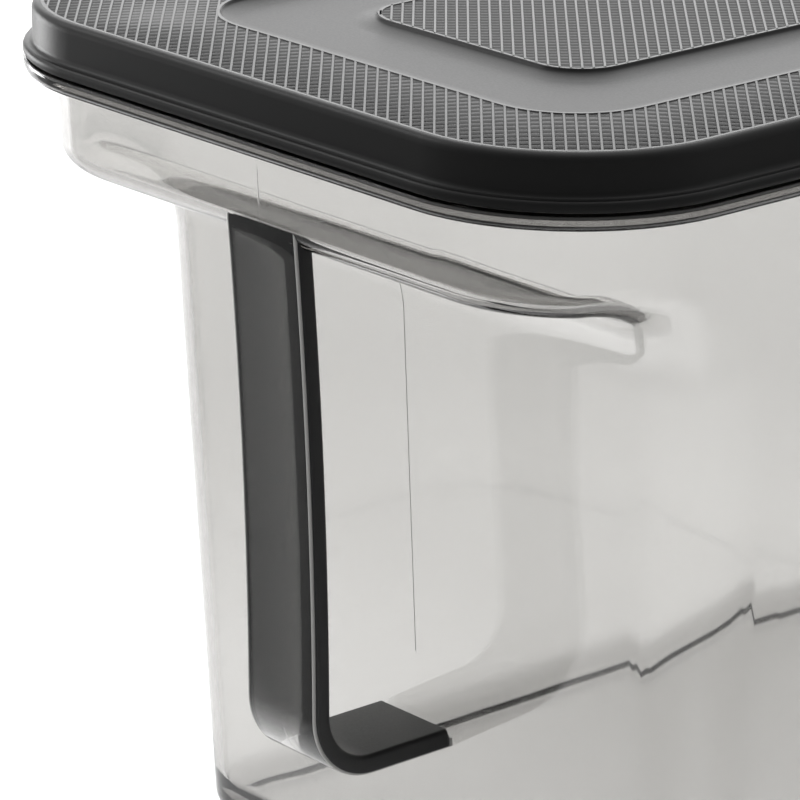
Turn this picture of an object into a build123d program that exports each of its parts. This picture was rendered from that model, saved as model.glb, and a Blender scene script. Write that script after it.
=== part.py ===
"""Dry food container: a clear tub with an overhung end and a pull handle, and a dark press-on lid.

Frame: +Z up, X across the tub, Y along it. The handle end faces -Y.
The origin is the middle of the footprint, on the surface that the tub stands on. Millimetres.
"""

import os
from math import radians, tan

from build123d import *

os.makedirs("parts", exist_ok=True)

# Driving dimensions of the whole container
lid_width = 172.0
lid_length = 260.0
lid_corner = 37.0
total_height = 175.0

# Tub shell
wall = 2.0
floor_thickness = 2.2
wall_inset = 6.0
wall_draft = 2.7
base_round = 4.5
rim_thickness = 2.8
rim_under_round = 1.6
rim_top_round = 0.5
collar_round = 0.6

# Overhung end, with the hand recess under it
overhang_height = 18.3
overhang_depth = 33.6
recess_draft = 2.5
cove_radius = 20.0
edge_round = 5.0

# Lid
lid_height = 11.1
lid_plate = 2.2
skirt_wall = 1.8
skirt_inset = 1.8
flange_height = 2.2
flange_round = 0.5
flare_radius = 1.2
lid_top_round = 2.8
border_inset = 23.2
border_corner = 16.8
side_border_extra = 20.5
panel_inset = 45.6
panel_corner = 9.9
moat_depth = 1.4
moat_round = 0.6
plug_wall = 1.6
plug_depth = 11.6
plug_round = 0.5

# Lid seal
seal_thickness = 2.0

# Pull handle and its grip
strap_thickness = 1.8
strap_lean = 3.9
bend_radius = 14.0
foot_height = 42.5
grip_width = 20.0
grip_depth = 3.4
grip_side = 1.2
grip_round = 0.8
strap_proud = 0.5
foot_root = 1.0

# Clearances
seam_gap = 0.4
seal_side_gap = 0.2
plug_gap = 0.6
grip_gap = 0.2

# Levels
rim_top = total_height - lid_height - seam_gap
rim_bottom = rim_top - rim_thickness
ceiling = rim_bottom - overhang_height
lip_top = ceiling + edge_round
lid_bottom = rim_top + seam_gap
lid_underside = total_height - lid_plate
collar_top = lid_underside - seal_thickness
foot_bottom = foot_height - grip_depth - strap_proud

# Insets of the lid's inner walls from the flange's edge
skirt_inner = skirt_inset + skirt_wall
plug_inset = wall_inset + wall + plug_gap

# Positions along Y at the handle end
wall_front = -lid_length / 2 + wall_inset
recess_front = wall_front + overhang_depth
lip_front = wall_front + (rim_bottom - lip_top) * tan(radians(wall_draft))
strap_front = lip_front + strap_lean
foot_end = recess_front + (ceiling - foot_height) * tan(radians(recess_draft))
strap_half = grip_width / 2 - grip_side


def outline(inset, corner=None, mode=Mode.ADD):
    """Draws the container's rounded plan outline, set in from the flange's edge."""
    radius = lid_corner - inset if corner is None else corner
    return RectangleRounded(lid_width - 2 * inset, lid_length - 2 * inset, radius, mode=mode)


def channel_outline(inset, corner, mode=Mode.ADD):
    """Draws an edge of the lid's sunk channel, moved over by the wider border along the -X side."""
    width = lid_width - side_border_extra - 2 * inset
    with Locations((side_border_extra / 2, 0)):
        return RectangleRounded(width, lid_length - 2 * inset, corner, mode=mode)


def tub_form(thickness, bottom, base):
    """The tub's drafted form with its hand recess, set in by a thickness from the outside."""
    shrink = (rim_bottom - bottom) * tan(radians(wall_draft))
    top = ceiling + thickness
    recess_top = recess_front + thickness
    recess_bottom = recess_top + (top - bottom) * tan(radians(recess_draft))
    with BuildPart() as form:
        with BuildSketch(Plane.XY.offset(bottom)):
            outline(wall_inset + thickness + shrink)
        with BuildSketch(Plane.XY.offset(rim_bottom)):
            outline(wall_inset + thickness)
        loft(ruled=True)
        with BuildSketch(Plane.YZ):
            with BuildLine():
                Polyline(
                    (-lid_length, bottom - base),
                    (-lid_length, top),
                    (recess_top, top),
                    (recess_bottom, bottom),
                    (recess_bottom, bottom - base),
                    close=True,
                )
            make_face()
            cove_corner = vertices().group_by(Axis.Y)[-1].sort_by(Axis.X)[-1]
            fillet(cove_corner, radius=cove_radius + thickness)
        extrude(amount=lid_width, both=True, mode=Mode.SUBTRACT)
        cut_edges = form.edges(Select.LAST)
        across = cut_edges.filter_by(Axis.X)
        lip = across.sort_by(Axis.Y)[0]
        sides = [edge for edge in cut_edges if edge not in across]
        fillet(sides + [lip], radius=edge_round - thickness)
        fillet(form.faces().sort_by(Axis.Z)[0].edges(), radius=base)
    return form.part


def rim_flange():
    """The flange round the tub's mouth, with its rounded lower edge."""
    with BuildPart() as rim:
        with BuildSketch(Plane.XY.offset(rim_bottom)):
            outline(0.0)
        extrude(amount=rim_thickness)
        fillet(rim.faces().sort_by(Axis.Z)[0].edges(), radius=rim_under_round)
        fillet(rim.faces().sort_by(Axis.Z)[-1].edges(), radius=rim_top_round)
    return rim.part


def handle_side(near, far, end):
    """The handle's side view between two depths behind its front face, from the lip to the foot's end."""
    with BuildSketch(Plane.YZ) as side:
        with BuildLine():
            for depth in (near, far):
                bend_start = (strap_front + depth, foot_bottom + bend_radius)
                bend_end = (strap_front + bend_radius, foot_bottom + depth)
                TangentArc(bend_start, (lip_front + depth, lip_top), tangent=(0, 1))
                TangentArc(bend_start, bend_end, tangent=(0, -1))
                Line(bend_end, (end, foot_bottom + depth))
            Line((lip_front + near, lip_top), (lip_front + far, lip_top))
            Line((end, foot_bottom + near), (end, foot_bottom + far))
        make_face()
    return side.sketch


outside = tub_form(0.0, 0.0, base_round)
inside = tub_form(wall, floor_thickness, base_round - wall)

# The clear tub: shell, rim flange, collar and handle strap in one moulding
strap = handle_side(0.0, strap_thickness, foot_end + foot_root)
with BuildPart() as body:
    add(outside)
    add(rim_flange())
    with BuildSketch(Plane.XY.offset(rim_top)):
        outline(wall_inset)
    extrude(amount=collar_top - rim_top)
    extrude(strap, amount=strap_half, both=True)
    add(inside, mode=Mode.SUBTRACT)
    with BuildSketch(Plane.XY.offset(rim_bottom)):
        outline(wall_inset + wall)
    extrude(amount=collar_top - rim_bottom, mode=Mode.SUBTRACT)
    fillet(body.faces().sort_by(Axis.Z)[-1].edges(), radius=collar_round)
body.part.label = "body"
export_step(body.part, "parts/body.step")

# The grip: a channel that wraps the strap's inner side and both its edges
with BuildPart() as handle_grip:
    liner = handle_side(strap_proud, strap_proud + grip_depth, foot_end - grip_gap)
    extrude(liner, amount=grip_width / 2, both=True)
    foot_top = handle_grip.faces().filter_by(Axis.Z).sort_by(Axis.Z)[1]
    fillet(foot_top.edges().filter_by(Axis.Y), radius=grip_round)
    extrude(strap, amount=strap_half, both=True, mode=Mode.SUBTRACT)
    with BuildSketch(Plane.YZ):
        with Locations((lip_front + edge_round, lip_top)):
            Circle(edge_round + grip_gap)
    extrude(amount=grip_width, both=True, mode=Mode.SUBTRACT)
handle_grip.part.label = "handle_grip"
export_step(handle_grip.part, "parts/handle_grip.step")

# The lid: flanged skirt, sunk channel round a raised panel, and the plug wall under it
with BuildPart() as lid:
    with BuildSketch(Plane.XY.offset(lid_bottom)):
        outline(0.0)
    extrude(amount=flange_height)
    with BuildSketch(Plane.XY.offset(lid_bottom + flange_height)):
        outline(skirt_inset)
    extrude(amount=lid_height - flange_height)
    flare = lid.edges(Select.LAST).group_by(Axis.Z)[0]
    fillet(flare, radius=flare_radius)
    fillet(lid.faces().sort_by(Axis.Z)[-1].edges(), radius=lid_top_round)
    fillet(lid.faces().sort_by(Axis.Z)[0].edges(), radius=flange_round)
    with BuildSketch(Plane.XY.offset(total_height)):
        channel_outline(border_inset, border_corner)
        channel_outline(panel_inset, panel_corner, mode=Mode.SUBTRACT)
    extrude(amount=-moat_depth, mode=Mode.SUBTRACT)
    moat_edges = lid.edges(Select.LAST).group_by(Axis.Z)
    fillet(moat_edges[0] + moat_edges[-1], radius=moat_round)
    with BuildSketch(Plane.XY.offset(lid_bottom)):
        outline(skirt_inner)
    extrude(amount=lid_underside - lid_bottom, mode=Mode.SUBTRACT)
    with BuildSketch(Plane.XY.offset(lid_underside)):
        channel_outline(border_inset - lid_plate, border_corner + lid_plate)
        channel_outline(panel_inset + lid_plate, panel_corner - lid_plate, mode=Mode.SUBTRACT)
    extrude(amount=-moat_depth)
    with BuildSketch(Plane.XY.offset(lid_underside)):
        outline(plug_inset)
        outline(plug_inset + plug_wall, mode=Mode.SUBTRACT)
    extrude(amount=-plug_depth)
    fillet(lid.edges(Select.LAST).group_by(Axis.Z)[0], radius=plug_round)
lid.part.label = "lid"
export_step(lid.part, "parts/lid.step")

# The soft ring seal, in the channel between the lid's skirt and its plug wall
with BuildPart() as lid_seal:
    with BuildSketch(Plane.XY.offset(collar_top)):
        outline(skirt_inner + seal_side_gap)
        outline(plug_inset - seal_side_gap, mode=Mode.SUBTRACT)
    extrude(amount=seal_thickness)
lid_seal.part.label = "lid_seal"
export_step(lid_seal.part, "parts/lid_seal.step")
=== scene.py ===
# %% [markdown]
# A dry food container, dressed in Blender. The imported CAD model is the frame: it says where each piece is
# and how it moves. Here the clear tub, its handle and the textured lid get meshes as smooth as mouldings,
# and every piece gets the plastic or rubber that it is made of.

# %% Load the frame and read the main sizes from it
from math import acos, ceil, cos, pi, radians, sin, sqrt, tan

import bmesh
import bpy
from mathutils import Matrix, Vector


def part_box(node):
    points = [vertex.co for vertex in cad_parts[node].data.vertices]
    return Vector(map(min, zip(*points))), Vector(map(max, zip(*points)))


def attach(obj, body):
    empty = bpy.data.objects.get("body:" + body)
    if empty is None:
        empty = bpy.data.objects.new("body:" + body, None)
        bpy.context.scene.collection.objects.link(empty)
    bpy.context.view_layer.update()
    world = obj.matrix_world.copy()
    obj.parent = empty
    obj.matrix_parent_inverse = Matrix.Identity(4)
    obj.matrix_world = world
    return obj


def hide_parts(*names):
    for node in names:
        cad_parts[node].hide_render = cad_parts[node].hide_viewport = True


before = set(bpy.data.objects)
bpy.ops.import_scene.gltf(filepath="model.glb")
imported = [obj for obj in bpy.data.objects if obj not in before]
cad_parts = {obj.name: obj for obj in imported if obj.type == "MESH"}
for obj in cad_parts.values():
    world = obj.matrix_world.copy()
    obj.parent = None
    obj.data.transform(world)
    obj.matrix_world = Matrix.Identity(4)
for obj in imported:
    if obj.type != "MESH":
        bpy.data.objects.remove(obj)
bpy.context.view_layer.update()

mm = 0.001
lid_height = 11.1 * mm
half_width, half_length, lid_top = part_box("lid")[1]
lid_bottom = lid_top - lid_height
collar_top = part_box("body")[1][2]
grip_low, grip_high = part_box("handle_grip")
print("lid from", lid_bottom, "to", lid_top, "m, half width", half_width, "half length", half_length)

# %% [markdown]
# The tub's own sizes follow. They repeat the driving sizes of the solid, so the smooth skin lies on the
# CAD faces. It takes two liberties, which the photo shows: the recess's upright corners and the round
# inside at the floor are both larger than in the solid.

# %% Name the tub's sizes
plan_corner = 37.0 * mm
wall_inset = 6.0 * mm
wall = 2.0 * mm
floor_thickness = 2.2 * mm
base_round = 4.5 * mm
inner_base_round = 7.5 * mm
wall_slope = tan(radians(2.7))
recess_draft = radians(2.5)
recess_slope = tan(recess_draft)
seam_gap = 0.4 * mm
rim_thickness = 2.8 * mm
rim_under_round = 1.6 * mm
rim_edge_round = 0.5 * mm
collar_round = 0.6 * mm
neck_round = 0.6 * mm
overhang_height = 18.3 * mm
overhang_depth = 33.6 * mm
cove_radius = 20.0 * mm
lip_round = 5.0 * mm
upright_round = 16.0 * mm

rim_top = lid_bottom - seam_gap
rim_bottom = rim_top - rim_thickness
ceiling = rim_bottom - overhang_height
lip_top = ceiling + lip_round
corner_x = half_width - plan_corner
corner_y = half_length - plan_corner


def wall_inset_at(height):
    """How far the drafted wall stands in from the lid's edge at a height."""
    return wall_inset + (rim_bottom - height) * wall_slope


lip_front = -half_length + wall_inset_at(lip_top)
recess_front = -half_length + wall_inset + overhang_depth
print("lip at y", round(lip_front, 4), "ceiling at z", round(ceiling, 4))

# %% [markdown]
# Every mesh here is made of patches: rows of points, with quads between them. Two patches share the points
# of a common edge, and welding makes them one skin. That is how a surface modeller thinks, and it gives
# even, clean rows where a boolean would leave slivers.

# %% Make a helper that welds patches into one object
weld_distance = 0.002 * mm
sliver_length = 0.001 * mm


def lerp(low, high, share):
    """The value that lies a share of the way from low to high."""
    return low + (high - low) * share


def skin_object(name, patches, caps=(), mirrored=False, sharp_degrees=40.0):
    """Joins rows of points with quads, adds flat caps, and welds it all into one smooth object."""
    mesh = bmesh.new()
    signs = (1, -1) if mirrored else (1,)
    for sign in signs:
        for rows in patches:
            grid = [[mesh.verts.new((sign * x, y, z)) for x, y, z in row] for row in rows]
            for upper, lower in zip(grid, grid[1:]):
                for a, b, c, d in zip(upper, upper[1:], lower[1:], lower):
                    mesh.faces.new((a, b, c, d))
        for cap in caps:
            mesh.faces.new([mesh.verts.new((sign * x, y, z)) for x, y, z in cap])
    bmesh.ops.remove_doubles(mesh, verts=mesh.verts, dist=weld_distance)
    bmesh.ops.dissolve_degenerate(mesh, edges=mesh.edges, dist=sliver_length)
    bmesh.ops.recalc_face_normals(mesh, faces=mesh.faces)
    open_edges = sum(1 for edge in mesh.edges if len(edge.link_faces) != 2)
    data = bpy.data.meshes.new(name)
    mesh.to_mesh(data)
    mesh.free()
    data.polygons.foreach_set("use_smooth", [True] * len(data.polygons))
    data.set_sharp_from_angle(angle=radians(sharp_degrees))
    item = bpy.data.objects.new(name, data)
    bpy.context.scene.collection.objects.link(item)
    print(name, len(data.polygons), "faces,", open_edges, "open edges")
    return item


# %% [markdown]
# The clear tub is one injection moulding, 2 mm thick all over. Its overhung end is the hard part: a lip
# with a small round, a flat ceiling, a wide cove and a recess wall, with an edge round that starts as small
# as the lip's and grows to 16 mm down the corner. A bevel modifier can't vary like that along a chain of
# curved edges, so the round is worked out as a rolling ball: one ball centre for each station along the
# recess's side profile. The inner skin uses the same centres with a smaller ball, so the wall stays even.

# %% Walk down the recess's side profile, one station at a time
ceiling_steps = 8
cove_steps = 22
wall_steps = 14
edge_taper = 0.6


def recess_stations(bottom):
    """(y, z, normal y, normal z, edge round) from the lip's underside to the foot of the recess wall."""
    cove_y = recess_front - cove_radius / cos(recess_draft) + cove_radius * tan(recess_draft)
    cove_z = ceiling - cove_radius
    ball_run = plan_corner - wall_inset_at(lip_top) - lip_round
    last_turn = acos((-corner_y - cove_y) / ball_run)
    stations = []
    for step in range(ceiling_steps):
        turn = last_turn * step / ceiling_steps
        stations.append((-corner_y - ball_run * cos(turn), ceiling, 0.0, 1.0, lip_round))
    for step in range(cove_steps + 1):
        share = step / cove_steps
        angle = lerp(pi / 2, recess_draft, share)
        edge = lerp(lip_round, upright_round, sin(share * pi / 2))
        y = cove_y + cove_radius * cos(angle)
        z = cove_z + cove_radius * sin(angle)
        stations.append((y, z, cos(angle), sin(angle), edge))
    foot_y, foot_z = stations[-1][:2]
    for step in range(1, wall_steps + 1):
        z = lerp(foot_z, bottom, step / wall_steps)
        edge = upright_round - (foot_z - z) * wall_slope * edge_taper
        stations.append((foot_y + (foot_z - z) * recess_slope, z, 1.0, 0.0, edge))
    return stations


print(len(recess_stations(base_round)), "stations down the recess")


# %% Find the rolling ball's centre at each station
def ball_centres(stations):
    """For each station, the edge round's centre, its wall direction and its radius."""
    centres = []
    for y, z, normal_y, normal_z, edge in stations:
        ball_y = y + normal_y * edge
        ball_z = z + normal_z * edge
        run = plan_corner - wall_inset_at(ball_z) - edge
        toward = max(0.0, min(1.0, (-corner_y - ball_y) / run))
        aside = sqrt(1 - toward * toward)
        centres.append((corner_x + run * aside, ball_y, ball_z, aside, -toward, edge))
    return centres


print("first ball at", [round(value, 4) for value in ball_centres(recess_stations(base_round))[0][:3]])

# %% [markdown]
# The tub is the same on both sides, so only half of it is drawn, from the middle of the front to the middle
# of the back, and mirrored. Its mould parts along that middle line, which leaves a ridge as fine as a hair:
# the first points of each front row stand that much proud.

# %% Draw one row of the wall
front_steps = 30
side_steps = 26
turn_steps = 16
back_steps = 16
seam_height = 0.05 * mm
seam_half = 0.12 * mm
seam_end = 54.0 * mm
front_shares = [0.0, seam_half / corner_x, 2 * seam_half / corner_x]
front_shares += [step / front_steps for step in range(1, front_steps + 1)]


def tail(height, inset, start):
    """The rest of a wall row: along the side, round the rear corner, to the middle of the back."""
    reach = plan_corner - inset
    points = []
    for step in range(1, side_steps + 1):
        share = step / side_steps
        points.append((lerp(start[0], corner_x + reach, share), lerp(start[1], corner_y, share), height))
    for step in range(1, turn_steps + 1):
        angle = pi / 2 * step / turn_steps
        points.append((corner_x + reach * cos(angle), corner_y + reach * sin(angle), height))
    for step in range(1, back_steps + 1):
        points.append((corner_x * (1 - step / back_steps), corner_y + reach, height))
    return points


def full_row(centres, heights, inset_at, seam=0.0):
    """A row all round: the front, then the corner at the stations' own directions, then the tail."""
    reach = plan_corner - inset_at(heights[0])
    row = [(corner_x * share, -corner_y - reach, heights[0]) for share in front_shares]
    row[0] = (0.0, -corner_y - reach - seam, heights[0])
    for (_, _, _, aside, ahead, _), height in zip(centres, heights[1:]):
        reach = plan_corner - inset_at(height)
        row.append((corner_x + reach * aside, -corner_y + reach * ahead, height))
    return row + tail(heights[-1], inset_at(heights[-1]), row[-1])


print(len(front_shares), "points from the middle of the front to the corner")

# %% [markdown]
# Three patches meet at each corner: the outer wall, the recess, and the round between them. The outer wall's
# rows go all the way round the tub above the lip, and below it they start at the round.

# %% Draw the wall above the lip and beside the recess
upper_rows = 6


def wall_above(turning, inset_at, seam):
    """The wall's rows from the rim down to the lip, all the way round."""
    rows = []
    for step in range(upper_rows + 1):
        share = step / upper_rows
        heights = [lerp(rim_bottom, lip_top, share)]
        heights += [lerp(rim_bottom, centre[2], share) for centre in turning]
        rows.append(full_row(turning, heights, inset_at, seam if step else 0.0))
    return rows


def wall_beside(centres, inset_at, thickness):
    """The wall's rows below the lip, from the edge round along the side to the back."""
    rows = []
    for _, y, z, aside, ahead, edge in centres:
        reach = plan_corner - inset_at(z)
        start = (corner_x + reach * aside, y + (edge - thickness) * ahead, z)
        rows.append([start] + tail(z, inset_at(z), start))
    return rows


# %% Draw the recess and the round at its edge
round_steps = 10


def recess_rows(stations, centres, thickness, seam):
    """The recess's ceiling, cove and wall, from the middle out to the edge round."""
    rows = []
    for (y, z, normal_y, normal_z, _), centre in zip(stations, centres):
        y += normal_y * thickness
        z += normal_z * thickness
        row = [(centre[0] * share, y, z) for share in front_shares]
        if z > seam_end:
            row[0] = (0.0, y - normal_y * seam, z - normal_z * seam)
        rows.append(row)
    return rows


def round_rows(stations, centres, thickness, seam):
    """The round between the wall and the recess: along the lip, then round the corner and down."""
    ball = lip_round - thickness
    rows = []
    for step in range(round_steps + 1):
        angle = pi / 2 * step / round_steps
        row = []
        for share in front_shares:
            reach = ball if share else ball + seam
            y = lip_front + lip_round - reach * cos(angle)
            row.append((corner_x * share, y, lip_top - reach * sin(angle)))
        for (_, _, normal_y, normal_z, edge), centre in zip(stations[1:], centres[1:]):
            toward_wall = Vector((centre[3], centre[4], 0.0))
            toward_recess = Vector((0.0, -normal_y, -normal_z))
            ray = (toward_wall * cos(angle) + toward_recess * sin(angle)).normalized()
            row.append(tuple(Vector(centre[:3]) + ray * (edge - thickness)))
        rows.append(row)
    return rows


# %% Close the foot and put one skin together, outside or inside
base_steps = 6
least_turn = 0.001


def base_rows(recess, rounding, beside, last_centre, floor_round):
    """The round at the tub's foot, from the lowest points of the three patches in to the floor."""
    foot = [(point, (0.0, -1.0)) for point in recess[-1]]
    for row in reversed(rounding[:-1]):
        outward = Vector(row[-1]) - Vector(last_centre[:3])
        foot.append((row[-1], tuple(outward.xy.normalized())))
    for point in beside[-1][1:]:
        outward = Vector((max(0.0, point[0] - corner_x), max(0.0, point[1] - corner_y)))
        foot.append((point, tuple(outward.normalized())))
    rows = []
    for step in range(base_steps + 1):
        angle = pi / 2 * step / base_steps
        inward = floor_round * (1 - cos(angle))
        drop = floor_round * sin(angle)
        rows.append([(p[0] - n[0] * inward, p[1] - n[1] * inward, p[2] - drop) for p, n in foot])
    return rows


def tub_skin(thickness, floor_height, floor_round):
    """Patches, floor cap and corner centres of one skin, set in by a thickness from the outside."""
    stations = recess_stations(floor_height + floor_round)
    centres = ball_centres(stations)
    turning = [centre for centre in centres[1:] if centre[4] < -least_turn]
    seam = 0.0 if thickness else seam_height

    def inset_at(height):
        return wall_inset_at(height) + thickness

    above = wall_above(turning, inset_at, seam)
    beside = wall_beside(centres[len(turning):], inset_at, thickness)
    recess = recess_rows(stations, centres, thickness, seam)
    rounding = round_rows(stations, centres, thickness, seam)
    base = base_rows(recess, rounding, beside, centres[-1], floor_round)
    return [above, beside, recess, rounding, base], base[-1], turning


outer_patches, outer_floor, turning = tub_skin(0.0, 0.0, base_round)
inner_patches, inner_floor, _ = tub_skin(wall, floor_thickness, inner_base_round)
print(len(outer_patches) + len(inner_patches), "patches in both skins")

# %% [markdown]
# Above the wall comes the rim: a flange with a round under it, a flat top that the lid's flange almost
# touches, and the collar that goes up into the lid. It is a plain profile carried round the plan.

# %% Draw the rim and the collar
arc_steps = 5


def arc_profile(centre_inset, centre_height, radius, start_degrees, end_degrees):
    """(inset, height) points along an arc; 0 degrees points inwards, to a larger inset, and 90 up."""
    points = []
    for step in range(arc_steps + 1):
        angle = radians(lerp(start_degrees, end_degrees, step / arc_steps))
        points.append((centre_inset + radius * cos(angle), centre_height + radius * sin(angle)))
    return points


def level_row(inset, height):
    """A level row all round at one inset, with its points where the wall's rows have theirs."""
    return full_row(turning, [height] * (len(turning) + 1), lambda _: inset)


inner_inset = wall_inset + wall
rim_profile = [(wall_inset, rim_bottom)]
rim_profile += arc_profile(rim_under_round, rim_bottom + rim_under_round, rim_under_round, 270, 180)
rim_profile += arc_profile(rim_edge_round, rim_top - rim_edge_round, rim_edge_round, 180, 90)
rim_profile += arc_profile(wall_inset - neck_round, rim_top + neck_round, neck_round, 270, 360)
rim_profile += arc_profile(wall_inset + collar_round, collar_top - collar_round, collar_round, 180, 90)
rim_profile += arc_profile(inner_inset - collar_round, collar_top - collar_round, collar_round, 90, 0)
rim_profile += [(inner_inset, rim_bottom)]
rim_rows = [level_row(inset, height) for inset, height in rim_profile]
print(len(rim_rows), "rows over the rim")

# %% [markdown]
# In the photo two lines run along the rim's edge, and a hairline runs down the recess wall where the mould
# parted. Each is a thin edge that gathers light. A line painted on the clear plastic would have no
# highlight, so each is a bead, a thin closed tube laid into the skin, which can have a finish of its own.

# %% Lay the rim's beads and the parting line's bead
bead_steps = 8
bead_turns = [2 * pi * step / bead_steps for step in range(bead_steps + 1)]
parting_radius = 0.09 * mm

# Inset, height and radius of each bead along the rim
rim_beads = {
    "rim_bead_top": (0.32 * mm, rim_top - 0.36 * mm, 0.3 * mm),
    "rim_bead_bottom": (0.75 * mm, rim_bottom + 0.22 * mm, 0.13 * mm),
}
beads = []
for name, (inset, height, radius) in rim_beads.items():
    rows = [level_row(inset + radius * cos(angle), height + radius * sin(angle)) for angle in bead_turns]
    beads.append(skin_object(name, [rows], mirrored=True))

recess_line = recess_stations(base_round)[ceiling_steps:]
parting_line = [station[:4] for station in recess_line if station[1] > seam_end]
rows = []
for angle in bead_turns:
    aside = parting_radius * cos(angle)
    out = parting_radius * sin(angle)
    rows.append([(aside, y - out * ahead, z - out * above) for y, z, ahead, above in parting_line])
ends = ([row[0] for row in rows[:-1]], [row[-1] for row in rows[:-1]])
parting_bead = skin_object("recess_parting_bead", [rows], caps=ends)

# %% Weld both skins and the rim into the tub
tub_patches = outer_patches + inner_patches + [rim_rows]
tub = skin_object("clear_tub", tub_patches, caps=(outer_floor, inner_floor), mirrored=True)
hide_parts("body")
for item in [tub, parting_bead] + beads:
    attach(item, "tub")

# %% [markdown]
# The handle is a strap that carries the front wall's line on down, bends under and runs back to the recess
# wall as a foot. The clear strap and the dark grip behind it follow the same path, each at its own depth, so
# both are one section swept along it. A curve with a bevel object would do, but its ends couldn't follow the
# lip, so each corner of the section gets its own line along the path.

# %% Draw the handle's path
strap_thickness = 1.8 * mm
strap_proud = 0.5 * mm
strap_lean = 3.9 * mm
bend_radius = 14.0 * mm
foot_bottom = grip_low[2] - strap_proud
strap_front = lip_front + strap_lean
bend_top = foot_bottom + bend_radius
foot_start = strap_front + bend_radius
lean_radius = (strap_lean**2 + (lip_top - bend_top) ** 2) / (2 * strap_lean)


def handle_line(depth, top, end, upright_steps=28, bend_steps=18, foot_steps=6):
    """(y, z) points at one depth behind the strap's front, from a top height down and back to an end."""
    line = []
    for step in range(upright_steps):
        z = lerp(top, bend_top, step / upright_steps)
        lean = lean_radius - sqrt(lean_radius**2 - (z - bend_top) ** 2)
        line.append((strap_front + depth - lean, z))
    for step in range(bend_steps + 1):
        angle = pi / 2 * step / bend_steps
        reach = bend_radius - depth
        line.append((foot_start - reach * cos(angle), bend_top - reach * sin(angle)))
    for step in range(1, foot_steps + 1):
        line.append((lerp(foot_start, end, step / foot_steps), foot_bottom + depth))
    return line


print("handle from z", round(lip_top, 4), "down to", round(foot_bottom, 4))

# %% [markdown]
# The sections are flat outlines with rounded corners. The strap has a fine ridge down its front, where the
# mould parts, and along each of its edges a narrow strip of its own, whose pale finish is a painted
# highlight. The grip is a channel that holds the strap. Its sides are thinner than the solid's, because the
# photo shows the clear face almost as wide as the grip.

# %% Draw the sections of the strap, its edges and the grip
grip_half = grip_high[0]
grip_depth = 3.4 * mm
grip_side = 0.35 * mm
grip_back = strap_proud + grip_depth
strap_ease = 0.05 * mm
strap_seam = 0.03 * mm
edge_width = 0.4 * mm
slot_half = grip_half - grip_side
edge_out = slot_half - strap_ease
edge_in = edge_out - edge_width
strap_half = edge_in - strap_ease
strap_back = strap_thickness - strap_ease
tiny_round = 0.05 * mm
small_round = 0.1 * mm
grip_lip_round = 0.12 * mm
strap_back_round = 0.2 * mm
strap_edge_round = 0.25 * mm
finger_round = 0.9 * mm


def rounded_section(corners, steps=5):
    """Closed (x, depth) points of a section whose corners are (x, depth, round)."""
    points = []
    for index, (x, depth, radius) in enumerate(corners):
        here = Vector((x, depth))
        before = (Vector(corners[index - 1][:2]) - here).normalized()
        after = (Vector(corners[(index + 1) % len(corners)][:2]) - here).normalized()
        for step in range(steps + 1):
            angle = pi / 2 * step / steps
            offset = before * (1 - sin(angle)) + after * (1 - cos(angle))
            points.append(tuple(here + offset * radius))
    return points


strap_section = rounded_section(
    [
        (-strap_half, 0.0, small_round),
        (-2 * seam_half, 0.0, 0.0),
        (-seam_half, 0.0, 0.0),
        (0.0, -strap_seam, 0.0),
        (seam_half, 0.0, 0.0),
        (2 * seam_half, 0.0, 0.0),
        (strap_half, 0.0, small_round),
        (strap_half, strap_back, strap_back_round),
        (-strap_half, strap_back, strap_back_round),
    ]
)
right_section = rounded_section(
    [
        (edge_in, 0.0, tiny_round),
        (edge_out, 0.0, strap_edge_round),
        (edge_out, strap_back, small_round),
        (edge_in, strap_back, tiny_round),
    ]
)
left_section = [(-x, depth) for x, depth in right_section]
grip_section = rounded_section(
    [
        (-grip_half, strap_proud, grip_lip_round),
        (-slot_half, strap_proud, grip_lip_round),
        (-slot_half, strap_thickness, small_round),
        (slot_half, strap_thickness, small_round),
        (slot_half, strap_proud, grip_lip_round),
        (grip_half, strap_proud, grip_lip_round),
        (grip_half, grip_back, finger_round),
        (-grip_half, grip_back, finger_round),
    ]
)
print("strap", round(2 * strap_half / mm, 2), "mm wide in a grip of", round(2 * grip_half / mm, 2))

# %% [markdown]
# The strap runs a little way into the lip and into the recess wall, so that it reads as one moulding with
# the tub. The grip stops short of the lip, and its foot has a rounded tip.

# %% Sweep the sections along the path
lip_clearance = 0.2 * mm
lip_bite = 0.3 * mm
wall_bite = 0.7 * mm
tip_round = 1.0 * mm


def under_lip(depth):
    """The height of the lip's underside at a depth behind its front, less a clearance."""
    reach = lip_round + lip_clearance
    return lip_top - sqrt(reach**2 - (lip_round - depth) ** 2)


def into_lip(depth):
    """The height where the strap starts, inside the lip."""
    return under_lip(max(depth, 0.0)) + lip_bite


def strap_end(x, depth):
    """Where the strap's foot ends, inside the recess wall."""
    return grip_high[1] + wall_bite


def grip_end(x, depth):
    """Where the grip's foot ends: rounded off towards its sides and its finger side."""
    over = max(0.0, abs(x) - (grip_half - tip_round)) / tip_round
    above = max(0.0, depth - (grip_back - tip_round)) / tip_round
    out = min(1.0, sqrt(over**2 + above**2))
    return grip_high[1] - tip_round * (1 - sqrt(1 - out**2))


def sweep(name, section, top_at, end_at):
    """Carries a section along the handle; top_at says where each depth starts, end_at where a point ends."""
    lines = []
    for x, depth in section + section[:1]:
        lines.append([(x, y, z) for y, z in handle_line(depth, top_at(depth), end_at(x, depth))])
    ends = ([line[0] for line in lines[:-1]], [line[-1] for line in lines[:-1]])
    return skin_object(name, [lines], caps=ends)


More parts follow.
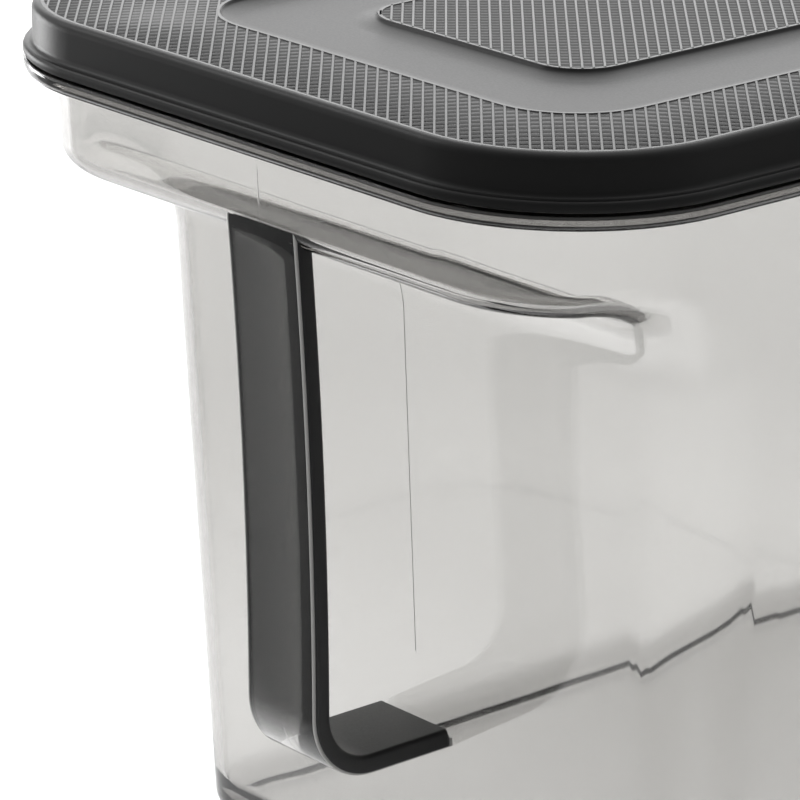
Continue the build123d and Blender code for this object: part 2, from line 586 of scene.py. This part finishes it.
strap = sweep("clear_strap", strap_section, into_lip, strap_end)
right_edge = sweep("strap_edge_right", right_section, into_lip, strap_end)
left_edge = sweep("strap_edge_left", left_section, into_lip, strap_end)
grip = sweep("grip_channel", grip_section, under_lip, grip_end)
for item in (strap, right_edge, left_edge):
    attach(item, "tub")
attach(grip, "tub")
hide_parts("handle_grip")

# %% [markdown]
# The lid is one dark moulding. Its rings nest: the panel in the middle, the smooth channel round it, the
# textured border, the rounded shoulder, the skirt and the flange, and then the same way back underneath,
# over the plug wall. Each ring is a rounded rectangle with its own inset, corner and height, and the skin
# runs from ring to ring. The channel lies off centre, with a wider border along one side.

# %% Name the lid's sizes
rib_height = 0.22 * mm
border_inset = 23.2 * mm
border_corner = 16.8 * mm
panel_inset = 45.6 * mm
panel_corner = 9.9 * mm
channel_shift = 10.25 * mm
moat_depth = 1.4 * mm
texture_inset = 3.3 * mm
border_fall = 1.1 * mm
shoulder_round = 1.8 * mm
skirt_inset = 1.8 * mm
skirt_wall = 1.8 * mm
flare_round = 1.2 * mm
flange_height = 2.2 * mm
flange_round = 0.9 * mm
lid_plate = 2.2 * mm
plug_gap = 0.6 * mm
plug_wall = 1.6 * mm
plug_depth = 11.6 * mm
plug_chamfer = 0.4 * mm
cell_floor = lid_top - rib_height
moat_floor = lid_top - moat_depth
underside = lid_top - lid_plate
print("channel floor at z", round(moat_floor, 5), "underside at z", round(underside, 5))

# %% Make the rings that the lid is drawn with
quarters = ((1, 1), (-1, 1), (-1, -1), (1, -1))


def ring(inset, corner, height, shift=0.0, turn=14):
    """A closed rounded rectangle, as points, with its middle moved along X by a shift."""
    wide = half_width - abs(shift) - inset - corner
    long = half_length - inset - corner
    points = []
    for quarter, (side, end) in enumerate(quarters):
        for step in range(turn + 1):
            angle = pi / 2 * (quarter + step / turn)
            across = shift + side * wide + corner * cos(angle)
            points.append((across, end * long + corner * sin(angle), height))
    return points + points[:1]


def nested(inset, height):
    """A ring that keeps the plan's corner centres."""
    return ring(inset, plan_corner - inset, height)


def panel_ring(out, height):
    """A ring set out by a distance from the panel's edge."""
    return ring(panel_inset - out, panel_corner + out, height, channel_shift)


def border_ring(out, height):
    """A ring set out by a distance from the border's inner edge."""
    return ring(border_inset - out, border_corner + out, height, channel_shift)


def outer_ring(out, height):
    """A ring set out by a distance from the border's outer edge."""
    return nested(texture_inset - out, height)


print(len(nested(0.0, lid_bottom)), "points in a ring")

# %% [markdown]
# Each textured field ends in a low kerb, and beyond it the smooth channel sweeps down softly. Two liberties
# follow the photo here: that sweep is longer than the solid's round, and the border falls by 1.1 mm to its
# outer edge. Both stay inside the solid's box.

# %% Draw the lid from the panel out, down the skirt and back underneath
# Millimetres in from a field's edge, and millimetres down from the lid's top
kerb_inside = ((1.35, 0.22), (1.0, 0.22), (0.85, 0.15), (0.5, 0.1))
kerb_outside = ((0.2, 0.16), (0.0, 0.3), (-0.12, 0.55))
channel_sweep = ((-0.6, 0.8), (-1.4, 1.02), (-2.6, 1.24), (-4.0, 1.4), (-4.8, 1.4))
edge_points = kerb_inside + kerb_outside + channel_sweep
edge_profile = [(inward * mm, lid_top - drop * mm) for inward, drop in edge_points]
rings = [panel_ring(-inward, height) for inward, height in edge_profile]
rings += [border_ring(inward, height) for inward, height in reversed(edge_profile)]
for inward, height in edge_profile[: len(kerb_inside)]:
    rings.append(outer_ring(-inward, height - border_fall))

shoulder_height = lid_top - border_fall - shoulder_round
flange_top = lid_bottom + flange_height
lid_profile = arc_profile(skirt_inset + shoulder_round, shoulder_height, shoulder_round, 90, 180)
lid_profile += arc_profile(skirt_inset - flare_round, flange_top + flare_round, flare_round, 360, 270)
lid_profile += arc_profile(flange_round, flange_top - flange_round, flange_round, 90, 180)
lid_profile += arc_profile(flange_round, lid_bottom + flange_round, flange_round, 180, 270)

skirt_inner = skirt_inset + skirt_wall
plug_outer = inner_inset + plug_gap
plug_inner = plug_outer + plug_wall
plug_foot = underside - plug_depth
lid_profile += [
    (skirt_inner, lid_bottom),
    (skirt_inner, underside),
    (plug_outer, underside),
    (plug_outer, plug_foot + plug_chamfer),
    (plug_outer + plug_chamfer, plug_foot),
    (plug_inner - plug_chamfer, plug_foot),
    (plug_inner, plug_foot + plug_chamfer),
    (plug_inner, underside),
]
rings += [nested(inset, height) for inset, height in lid_profile]
trough = underside - moat_depth
rings += [border_ring(lid_plate, underside), border_ring(lid_plate, trough)]
rings += [panel_ring(-lid_plate, trough), panel_ring(-lid_plate, underside)]
lid = skin_object("lid_moulding", [rings], caps=(rings[0][:-1], rings[-1][:-1]), sharp_degrees=50.0)
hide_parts("lid")

# %% [markdown]
# On top of each kerb lies a flat bead, which catches the light as a thin pale line round the border and the
# panel. It is drawn as a piece of its own, because its face is polished, with a painted sheen, and the rest
# of the lid is satin.

# %% Lay the beads along the edges of the textured fields
half_bead = 0.5 * mm
crest_top = 0.65 * mm
crest_base = 0.95 * mm
texture_sharp = 20.0
crest_section = (
    (-crest_base / 2, cell_floor),
    (-crest_top / 2, lid_top),
    (crest_top / 2, lid_top),
    (crest_base / 2, cell_floor),
)

# The ring that each bead follows, how far out from it the bead's middle lies, and how far the lid has fallen
crest_lines = (
    (panel_ring, -half_bead, 0.0),
    (border_ring, half_bead, 0.0),
    (outer_ring, -half_bead, border_fall),
)
crest_patches = []
for ring_at, middle, fall in crest_lines:
    rows = [ring_at(offset + middle, height - fall) for offset, height in crest_section]
    crest_patches.append(rows + rows[:1])
crests = skin_object("lid_edge_beads", crest_patches, sharp_degrees=texture_sharp)
for item in (lid, crests):
    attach(item, "lid")

# %% [markdown]
# The border and the panel carry a moulded waffle: fine ribs 2 mm apart, with low wide bars across them. It
# could be a bump map, but the photo is close enough to see the ribs' own highlights, so each rib and bar is
# a real ridge, cut to the border or the panel where its line crosses them. To find where, one function gives
# the distance of any point from the edge of the textured fields.


# %% Measure where the lid is textured, and how far its border has fallen
def outside_ring(x, y, inset, corner, shift=0.0):
    """Signed distance of a point from a rounded rectangle: below zero inside it."""
    over_x = abs(x - shift) - (half_width - abs(shift) - inset - corner)
    over_y = abs(y) - (half_length - inset - corner)
    reach = sqrt(max(over_x, 0.0) ** 2 + max(over_y, 0.0) ** 2)
    return reach + min(max(over_x, over_y), 0.0) - corner


def border_distances(x, y):
    """How far a point lies inside the border's field, from its inner edge and from its outer one."""
    outer = texture_inset + half_bead
    return (
        outside_ring(x, y, border_inset - half_bead, border_corner + half_bead, channel_shift),
        -outside_ring(x, y, outer, plan_corner - outer),
    )


def textured(x, y):
    """Above zero where the lid carries the waffle, as a distance from its edge."""
    panel = -outside_ring(x, y, panel_inset + half_bead, panel_corner - half_bead, channel_shift)
    return max(min(border_distances(x, y)), panel)


def fall_at(x, y):
    """How far the border's face has dropped at a point, from its inner edge to its outer one."""
    inner, outer = (max(0.0, distance) for distance in border_distances(x, y))
    return border_fall * inner / max(inner + outer, half_bead)


print("at the middle the panel's edge is", round(textured(channel_shift, 0.0) / mm, 1), "mm away")

# %% Find the stretches of a line that lie on the waffle
ridge_tuck = 0.3 * mm
span_step = 1.5 * mm
halvings = 14


def on_field(middle, aside, base_width):
    """Whether a ridge's whole width lies on the waffle at a point of its middle line."""
    offsets = (-base_width / 2, 0.0, base_width / 2)
    return all(textured(*(middle + aside * offset)) > -ridge_tuck for offset in offsets)


def line_spans(along, aside, origin, reach, base_width):
    """(start, end) of each stretch of a line where a ridge of a width lies on the waffle."""

    def inside(place):
        return on_field(origin + along * place, aside, base_width)

    def crossing(here, there):
        """The place between two others where the waffle starts or ends."""
        state = inside(here)
        for _ in range(halvings):
            middle = (here + there) / 2
            if inside(middle) == state:
                here = middle
            else:
                there = middle
        return (here + there) / 2

    spans = []
    start = None
    places = [-reach + span_step * index for index in range(ceil(2 * reach / span_step) + 1)]
    states = [inside(place) for place in places]
    for index in range(len(places) - 1):
        if states[index] == states[index + 1]:
            continue
        edge_place = crossing(places[index], places[index + 1])
        if states[index]:
            spans.append((start, edge_place))
        else:
            start = edge_place
    return spans


# %% Raise the waffle's ribs and bars
rib_pitch = 2.0 * mm
rib_turn = radians(49.0)
rib_top = 0.4 * mm
rib_base = 0.7 * mm
rib_sink = 0.1 * mm
bar_top = 0.5 * mm
bar_base = 1.95 * mm
bar_height = 0.1 * mm
bar_sink = 0.02 * mm
ridge_step = 8.0 * mm


def ridge(along, aside, origin, span, section):
    """One ridge as a closed prism: rows of section points, which follow the border's fall."""
    pieces = max(1, round((span[1] - span[0]) / ridge_step))
    rows = []
    for index in range(pieces + 1):
        spot = origin + along * lerp(span[0], span[1], index / pieces)
        fall = fall_at(*spot)
        rows.append([(*(spot + aside * offset), height - fall) for offset, height in section])
    return rows


def ridges(name, turn, low, top, top_width, base_width):
    """One object of all the ridges that run in a direction across the border and the panel."""
    reach = sqrt(half_width**2 + half_length**2)
    along = Vector((-sin(turn), cos(turn)))
    aside = Vector((cos(turn), sin(turn)))
    section = ((-base_width / 2, low), (-top_width / 2, top), (top_width / 2, top), (base_width / 2, low))
    patches = []
    caps = []
    count = int(reach / rib_pitch)
    for index in range(-count, count + 1):
        origin = aside * (index * rib_pitch)
        for span in line_spans(along, aside, origin, reach, base_width):
            rows = ridge(along, aside, origin, span, section)
            patches.append([row + row[:1] for row in rows])
            caps += [rows[0], rows[-1]]
    return skin_object(name, patches, caps, sharp_degrees=texture_sharp)


bar_turn = rib_turn + pi / 2
ribs = ridges("lid_ribs", rib_turn, cell_floor - rib_sink, lid_top, rib_top, rib_base)
bars = ridges("lid_bars", bar_turn, cell_floor - bar_sink, cell_floor + bar_height, bar_top, bar_base)
for item in (ribs, bars):
    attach(item, "lid")

# %% [markdown]
# The finishes come next. One function turns the sRGB colours that a designer writes into the linear ones
# that a shader needs, and one adds a node with its settings and links.


# %% Make the material helpers
def linear(hex_colour):
    """A hex sRGB colour as linear red, green, blue and alpha."""
    channels = [int(hex_colour[start:start + 2], 16) / 255 for start in (1, 3, 5)]
    return tuple(c / 12.92 if c <= 0.04045 else ((c + 0.055) / 1.055) ** 2.4 for c in channels) + (1.0,)


def add_node(tree, kind, inputs=None, **settings):
    """Adds a node, sets its fields, and links or sets its inputs by name or number."""
    item = tree.nodes.new(kind)
    for field, value in settings.items():
        setattr(item, field, value)
    for name, value in (inputs or {}).items():
        if isinstance(value, bpy.types.NodeSocket):
            tree.links.new(value, item.inputs[name])
        else:
            item.inputs[name].default_value = value
    return item


def new_material(name):
    """An empty node material and its output node."""
    material = bpy.data.materials.new(name)
    material.use_nodes = True
    material.node_tree.nodes.clear()
    print("making", name)
    return material, material.node_tree, add_node(material.node_tree, "ShaderNodeOutputMaterial")


def give(item, material):
    """Makes a material the only one on an object."""
    item.data.materials.clear()
    item.data.materials.append(material)


# %% [markdown]
# The tub is SAN, a clear styrene plastic, moulded in a polished tool. It is bright and hard to the eye, with
# a trace of grey in the thickness and very faint ripples where the melt flowed. Lamps shine through it, so
# it casts only a light shadow.

# %% Mix the clear plastic
san_ior = 1.57
ripple_size = 18 * mm
ripple_depth = 0.12 * mm
clear, tree, output = new_material("clear_san_polished_moulding")
place = add_node(tree, "ShaderNodeTexCoord")
ripple = add_node(
    tree, "ShaderNodeTexNoise", {"Vector": place.outputs["Object"], "Scale": 1 / ripple_size, "Detail": 1.0}
)
wave = add_node(
    tree, "ShaderNodeBump", {"Height": ripple.outputs["Fac"], "Strength": 0.25, "Distance": ripple_depth}
)
gloss = add_node(
    tree,
    "ShaderNodeBsdfPrincipled",
    {
        "Base Color": linear("#fafaf9"),
        "Roughness": 0.02,
        "IOR": san_ior,
        "Transmission Weight": 1.0,
        "Normal": wave.outputs["Normal"],
    },
)
smoke = add_node(tree, "ShaderNodeVolumeAbsorption", {"Color": linear("#b4b2b0"), "Density": 310.0})
tree.links.new(smoke.outputs[0], output.inputs["Volume"])
lamp_light = add_node(tree, "ShaderNodeBsdfTransparent", {"Color": linear("#f2f2f1")})
light_path = add_node(tree, "ShaderNodeLightPath")
mixed = add_node(
    tree,
    "ShaderNodeMixShader",
    {0: light_path.outputs["Is Shadow Ray"], 1: gloss.outputs[0], 2: lamp_light.outputs[0]},
)
tree.links.new(mixed.outputs[0], output.inputs["Surface"])
for item in (tub, strap):
    give(item, clear)

# %% [markdown]
# All the other finishes are opaque plastics and rubbers, dyed through. They differ in colour, in gloss and
# in the grain that the tool left, so one recipe serves them all: noise of the grain's real size makes the
# roughness uneven, and can pit the face too. One roughness all over would look too perfect for a moulding.


# %% Make the recipe for an opaque plastic
def opaque(name, colour, grain_size, smoothest, roughest, ior, specular=0.5, pit_depth=0.0):
    """A dyed plastic or rubber whose roughness varies with a grain of a real size."""
    material, tree, output = new_material(name)
    place = add_node(tree, "ShaderNodeTexCoord")
    grain = add_node(
        tree,
        "ShaderNodeTexNoise",
        {"Vector": place.outputs["Object"], "Scale": 1 / grain_size, "Detail": 2.0},
    )
    rough = add_node(
        tree, "ShaderNodeMapRange", {"Value": grain.outputs["Fac"], "To Min": smoothest, "To Max": roughest}
    )
    surface = add_node(
        tree,
        "ShaderNodeBsdfPrincipled",
        {
            "Base Color": linear(colour),
            "Roughness": rough.outputs[0],
            "IOR": ior,
            "Specular IOR Level": specular,
        },
    )
    if pit_depth:
        pits = add_node(
            tree, "ShaderNodeBump", {"Height": grain.outputs["Fac"], "Strength": 0.2, "Distance": pit_depth}
        )
        tree.links.new(pits.outputs["Normal"], surface.inputs["Normal"])
    tree.links.new(surface.outputs[0], output.inputs["Surface"])
    return material


# %% [markdown]
# Where the clear SAN ends in a thin edge, along the strap and at the parting line, it gets a pale opaque
# finish:
# a painted highlight, for the light line that such an edge catches. The rim's edges are thick; their dark
# grey is a painted reflection of the lid's dark underside, and the sharp highlight on the lit side comes
# from the lamps.

# %% Mix the clear plastic's edges: a painted highlight and a painted lid reflection
# Pale opaque finish: a painted highlight for the light lines along the clear edges.
painted_highlight_edge = opaque("clear_san_edge_painted_highlight", "#b2b1af", 6 * mm, 0.25, 0.4, san_ior)
for item in (right_edge, left_edge, parting_bead):
    give(item, painted_highlight_edge)
# Dark grey finish: a painted reflection of the lid's dark underside in the rim's edges.
painted_lid_reflection_edge = opaque("san_edge_painted_lid_reflection", "#454544", 8 * mm, 0.12, 0.22, san_ior)
for item in beads:
    give(item, painted_lid_reflection_edge)

# %% [markdown]
# The lid is polypropylene, coloured through in charcoal and moulded with a fine spark-eroded grain. The
# grain spreads the highlights, so the skirt is a soft black and the top picks up the pale room. The tops of
# the ribs and of the edge beads are polished by handling, and their colour is a shade lighter as a painted
# sheen, so they show as pale lines; the bars down in the cells keep a rougher grain and stay dark between
# them.

# %% Mix the lid's plastic in its three finishes
lid_ior = 1.5
lid_grain = 0.5 * mm
pit_depth = 0.02 * mm
charcoal = "#1e1e1e"
satin = opaque(
    "charcoal_polypropylene_satin_moulding", charcoal, lid_grain, 0.32, 0.42, lid_ior, 0.15, pit_depth
)
give(lid, satin)
# A shade lighter than the satin charcoal: a painted sheen on the rib tops and edge beads.
polished_painted_sheen = opaque("charcoal_polypropylene_polished_rib_painted_sheen", "#262626", 2 * mm, 0.28, 0.36, lid_ior, 0.28)
for item in (ribs, crests):
    give(item, polished_painted_sheen)
eroded = opaque("charcoal_polypropylene_eroded_cell", charcoal, lid_grain, 0.45, 0.55, lid_ior, 0.12)
give(bars, eroded)

# %% [markdown]
# The grip is a thermoplastic rubber, moulded onto the strap. It is as dark as the lid but softer to the eye.
# The seal inside the lid is grey silicone, which looks dry and a little chalky. Its CAD mesh is a plain ring
# already, so it keeps that and only gets the finish.

# %% Mix the grip's rubber and the seal's silicone
rubber = opaque("charcoal_thermoplastic_rubber", "#1a1a1b", 0.4 * mm, 0.42, 0.55, 1.5)
give(grip, rubber)
silicone = opaque("grey_silicone_rubber", "#8e8e8c", 3 * mm, 0.45, 0.6, 1.41)
give(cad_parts["lid_seal"], silicone)

# %% [markdown]
# It stands in a white studio: a pale floor that runs away behind, soft light from above, and a darker
# room behind the camera. The floor is white paper, which keeps the object's shadow. Some of its white is a
# glow that only the camera and the clear plastic see, so that it lights nothing; close to the object the
# glow is stronger, a painted pool of light. What a glossy face mirrors is split in two: close to the object
# it mirrors the glow, and towards the dark side of the room it mirrors a grey paper, a painted shade.

# %% Tell apart how the floor is seen
white = linear("#ffffff")
floor_size = 8.0
floor_drop = 0.0005
bpy.ops.mesh.primitive_plane_add(size=floor_size, location=(0.0, 0.0, -floor_drop))
floor = bpy.context.object
floor.name = "studio_floor"
paper_with_painted_light, tree, output = new_material("white_paper_sweep_painted_shade_and_pool")
spot = add_node(tree, "ShaderNodeTexCoord")
light_path = add_node(tree, "ShaderNodeLightPath")
seen = add_node(
    tree,
    "ShaderNodeMath",
    {0: light_path.outputs["Is Camera Ray"], 1: light_path.outputs["Is Transmission Ray"]},
    operation="MAXIMUM",
)
mirrored = add_node(
    tree,
    "ShaderNodeMath",
    {0: light_path.outputs["Is Glossy Ray"], 1: seen.outputs[0]},
    operation="SUBTRACT",
    use_clamp=True,
)
sides = add_node(tree, "ShaderNodeSeparateXYZ", {0: spot.outputs["Object"]})
forward = add_node(tree, "ShaderNodeMath", {0: sides.outputs["Y"], 1: -1.0}, operation="MULTIPLY")
nearness = add_node(
    tree, "ShaderNodeMath", {0: sides.outputs["X"], 1: forward.outputs[0]}, operation="MAXIMUM"
)
# Mask of the floor towards the camera and to the right, where mirrored rays see painted shade.
painted_shade_side = add_node(
    tree, "ShaderNodeMapRange", {"Value": nearness.outputs[0], "From Min": 0.13, "From Max": 0.2}
)
mirrored_painted_shade = add_node(
    tree, "ShaderNodeMath", {0: mirrored.outputs[0], 1: painted_shade_side.outputs[0]}, operation="MULTIPLY"
)
mirrored_painted_pool = add_node(
    tree, "ShaderNodeMath", {0: mirrored.outputs[0], 1: mirrored_painted_shade.outputs[0]}, operation="SUBTRACT"
)
shown = add_node(
    tree, "ShaderNodeMath", {0: seen.outputs[0], 1: mirrored_painted_pool.outputs[0]}, operation="MAXIMUM"
)
print("floor of", floor_size, "m laid")

# %% Mix the paper with its painted shade, and its glow with a painted pool of light
matte = add_node(tree, "ShaderNodeBsdfDiffuse", {"Color": linear("#f0f0f0")})
# Grey paper that mirrored rays see on the camera side: painted shade.
painted_shade_paper = add_node(tree, "ShaderNodeBsdfDiffuse", {"Color": linear("#8a8a8a")})
paper_with_painted_shade = add_node(
    tree, "ShaderNodeMixShader", {0: mirrored_painted_shade.outputs[0], 1: matte.outputs[0], 2: painted_shade_paper.outputs[0]}
)
# The glow is stronger close to the object: a painted pool of light, seen through the tub and in its glossy
# faces.
distance = add_node(tree, "ShaderNodeVectorMath", {0: spot.outputs["Object"]}, operation="LENGTH")
painted_pool_strength = add_node(
    tree,
    "ShaderNodeMapRange",
    {"Value": distance.outputs["Value"], "From Min": 0.1, "From Max": 0.3, "To Min": 0.68, "To Max": 0.3},
)
glow_with_painted_pool = add_node(tree, "ShaderNodeEmission", {"Color": white, "Strength": painted_pool_strength.outputs[0]})
unlit = add_node(tree, "ShaderNodeEmission", {"Strength": 0.0})
extra = add_node(
    tree, "ShaderNodeMixShader", {0: shown.outputs[0], 1: unlit.outputs[0], 2: glow_with_painted_pool.outputs[0]}
)
both = add_node(tree, "ShaderNodeAddShader", {0: paper_with_painted_shade.outputs[0], 1: extra.outputs[0]})
tree.links.new(both.outputs[0], output.inputs["Surface"])
give(floor, paper_with_painted_light)

# %% [markdown]
# Four square softboxes light it: a wide one overhead, a wide one behind, which gives the lid's top its pale
# sheen, and two small ones on the left, which draw the highlights on the rim and the strap. Area lamps are
# used because a point or a sun would give the clear plastic hard sparks.

# %% Hang the lamps
# Place and aim in metres, size in metres and power in watts
softboxes = {
    "overhead_softbox": ((-0.2, 0.3, 1.5), (0.0, 0.0, 0.1), 1.4, 8.0),
    "back_softbox": ((-1.14, 0.97, 0.75), (0.0, 0.0, 0.15), 1.6, 15.0),
    "left_softbox": ((-1.3, -0.57, 1.25), (0.0, -0.1, 0.15), 0.5, 4.0),
    "low_left_softbox": ((-0.8, -0.22, 0.12), (-0.05, -0.1, 0.15), 0.3, 2.5),
}
for name, (place, aim, size, power) in softboxes.items():
    data = bpy.data.lights.new(name, "AREA")
    data.size = size
    data.energy = power
    lamp = bpy.data.objects.new(name, data)
    lamp.location = place
    lamp.rotation_euler = (Vector(aim) - Vector(place)).to_track_quat("-Z", "Y").to_euler()
    bpy.context.scene.collection.objects.link(lamp)
print(len(softboxes), "softboxes hung")

# %% [markdown]
# The room is the world's background. It is bright on the far side and dim behind the camera, which is what
# gives clear plastic its dark and light edges. A white wall all round would make the tub vanish. The camera
# itself sees plain white.

# %% Paint the room
far_side = (-0.72, 0.61, 0.32)
world = bpy.data.worlds.new("white_studio")
bpy.context.scene.world = world
world.use_nodes = True
tree = world.node_tree
tree.nodes.clear()
output = add_node(tree, "ShaderNodeOutputWorld")
light_path = add_node(tree, "ShaderNodeLightPath")
where = add_node(tree, "ShaderNodeTexCoord")
facing = add_node(
    tree, "ShaderNodeVectorMath", {0: where.outputs["Generated"], 1: far_side}, operation="DOT_PRODUCT"
)
brightness = add_node(
    tree,
    "ShaderNodeMapRange",
    {"Value": facing.outputs["Value"], "From Min": -0.6, "From Max": 0.5, "To Min": 0.18, "To Max": 0.9},
    interpolation_type="SMOOTHSTEP",
)
room = add_node(tree, "ShaderNodeBackground", {"Color": white, "Strength": brightness.outputs[0]})
backdrop = add_node(tree, "ShaderNodeBackground", {"Color": white, "Strength": 1.0})
mixed = add_node(
    tree,
    "ShaderNodeMixShader",
    {0: light_path.outputs["Is Camera Ray"], 1: room.outputs[0], 2: backdrop.outputs[0]},
)
tree.links.new(mixed.outputs[0], output.inputs["Surface"])
print("room painted:", world.name)

# %% [markdown]
# The camera stands where the photo's perspective puts it: close to a metre away, with a long lens, looking
# down by 18.6 degrees at the near corner.

# %% Place the camera
camera_place = Vector((651.0, -646.5, 394.1)) * mm
turn = radians(49.5)
tilt = radians(18.6)
view_line = Vector((-sin(turn) * cos(tilt), cos(turn) * cos(tilt), -sin(tilt)))
camera_data = bpy.data.cameras.new("photo_camera")
camera_data.sensor_width = 36.0
camera_data.lens = 220.2
camera = bpy.data.objects.new("photo_camera", camera_data)
camera.location = camera_place
camera.rotation_euler = view_line.to_track_quat("-Z", "Y").to_euler()
bpy.context.scene.collection.objects.link(camera)
bpy.context.scene.camera = camera
bpy.context.scene.view_settings.view_transform = "Standard"
print("camera at", [round(value, 3) for value in camera_place])
